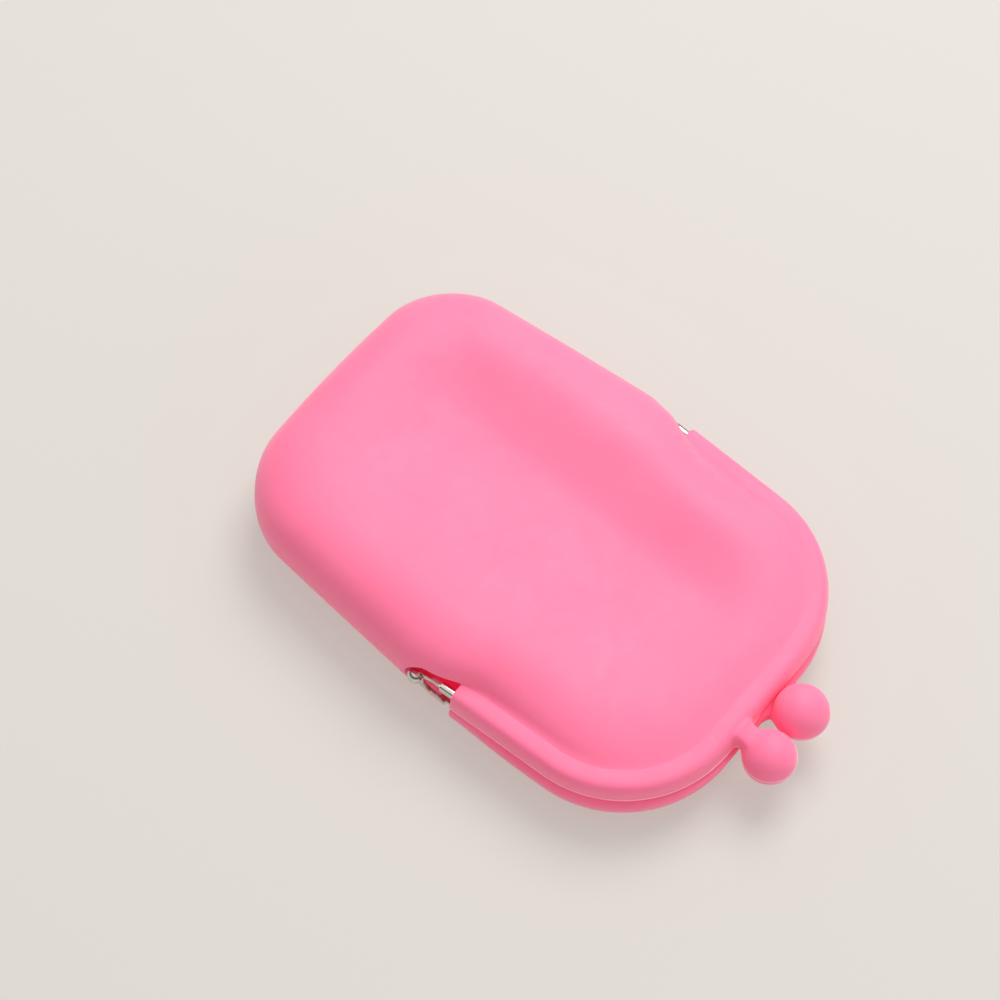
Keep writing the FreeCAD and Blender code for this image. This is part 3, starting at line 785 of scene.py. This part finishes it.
def floor_material():
    """A pale floor that partly glows to the camera and in reflections, so that it casts no more light."""
    material, nodes, links, shader = new_material("floor_pale")
    set_inputs(shader, FLOOR_LOOK)
    glow = nodes.new("ShaderNodeEmission")
    glow.inputs["Color"].default_value = FLOOR_GLOW
    ray = nodes.new("ShaderNodeLightPath")
    seen = ray.outputs["Is Camera Ray"]
    for kind in ("Is Glossy Ray", "Is Transmission Ray"):
        either = maths(nodes, links, "MAXIMUM", seen)
        links.new(ray.outputs[kind], either.inputs[1])
        seen = either.outputs["Value"]
    share = maths(nodes, links, "MULTIPLY", seen)
    share.inputs[1].default_value = FLOOR_GLOW_SHARE
    mix_shaders(nodes, links, share.outputs["Value"], shader.outputs["BSDF"], glow.outputs["Emission"],
                "Material Output")
    return material


def make_floor():
    """A wide level floor under the purse."""
    half = FLOOR_HALF
    mesh = bpy.data.meshes.new("floor")
    corners = [(-half, -half, 0), (half, -half, 0), (half, half, 0), (-half, half, 0)]
    mesh.from_pydata(corners, [], [(0, 1, 2, 3)])
    mesh.materials.append(floor_material())
    level = bpy.data.objects.new("floor", mesh)
    bpy.context.scene.collection.objects.link(level)
    return level


def add_light(name, place, target, size, power):
    """A square soft light aimed at a point."""
    data = bpy.data.lights.new(name, "AREA")
    data.shape = "SQUARE"
    data.size = size
    data.energy = power
    data.color = LIGHT_COLOUR
    light = bpy.data.objects.new(name, data)
    light.location = place
    light.rotation_mode = "QUATERNION"
    light.rotation_quaternion = (Vector(target) - Vector(place)).to_track_quat("-Z", "Y")
    bpy.context.scene.collection.objects.link(light)


def make_sky():
    """An even sky that lights the purse, and one that darkens downwards for what reflects it."""
    world = bpy.data.worlds.new("studio")
    world.use_nodes = True
    nodes = world.node_tree.nodes
    links = world.node_tree.links
    even = nodes["Background"]
    set_inputs(even, {"Color": (1.0, 1.0, 1.0, 1), "Strength": SKY_STRENGTH})
    reflected = nodes.new("ShaderNodeBackground")
    reflected.inputs["Strength"].default_value = 1.0
    place = nodes.new("ShaderNodeTexCoord")
    height = nodes.new("ShaderNodeSeparateXYZ")
    links.new(place.outputs["Generated"], height.inputs["Vector"])
    ramp(nodes, links, height.outputs["Z"], reflected.inputs["Color"], REFLECTED_SKY)
    ray = nodes.new("ShaderNodeLightPath")
    mix_shaders(nodes, links, ray.outputs["Is Glossy Ray"], even.outputs["Background"],
                reflected.outputs["Background"], "World Output")
    bpy.context.scene.world = world


floor = make_floor()
add_light("key", place=(-0.12, 0.5, 0.76), target=(0, 0, 0), size=0.55, power=6.8)
add_light("fill", place=(0.62, 0.02, 0.16), target=(0.05, 0, 0.01), size=0.4, power=0.42)
make_sky()

# Camera, fitted to the photograph

CAMERA_AZIMUTH = math.radians(39.48)
CAMERA_ELEVATION = math.radians(65.01)
CAMERA_DISTANCE = 0.6
SENSOR_WIDTH = 36
FOCAL_PIXELS = 2811.0
IMAGE_SIZE = 1000
HINGE_PIXEL = (537.7, 540.7)

camera_data = bpy.data.cameras.new("camera")
camera_data.sensor_width = SENSOR_WIDTH
camera_data.lens = SENSOR_WIDTH * FOCAL_PIXELS / IMAGE_SIZE
camera_data.shift_x = 0.5 - HINGE_PIXEL[0] / IMAGE_SIZE
camera_data.shift_y = HINGE_PIXEL[1] / IMAGE_SIZE - 0.5
camera = bpy.data.objects.new("camera", camera_data)
back = Vector((
    math.sin(CAMERA_AZIMUTH) * math.cos(CAMERA_ELEVATION),
    -math.cos(CAMERA_AZIMUTH) * math.cos(CAMERA_ELEVATION),
    math.sin(CAMERA_ELEVATION)))
camera.location = Vector((0, 0, MID * MM)) + back * CAMERA_DISTANCE
camera.rotation_mode = "QUATERNION"
camera.rotation_quaternion = (-back).to_track_quat("-Z", "Y")
bpy.context.scene.collection.objects.link(camera)
bpy.context.scene.camera = camera

bpy.context.scene.view_settings.view_transform = "Standard"
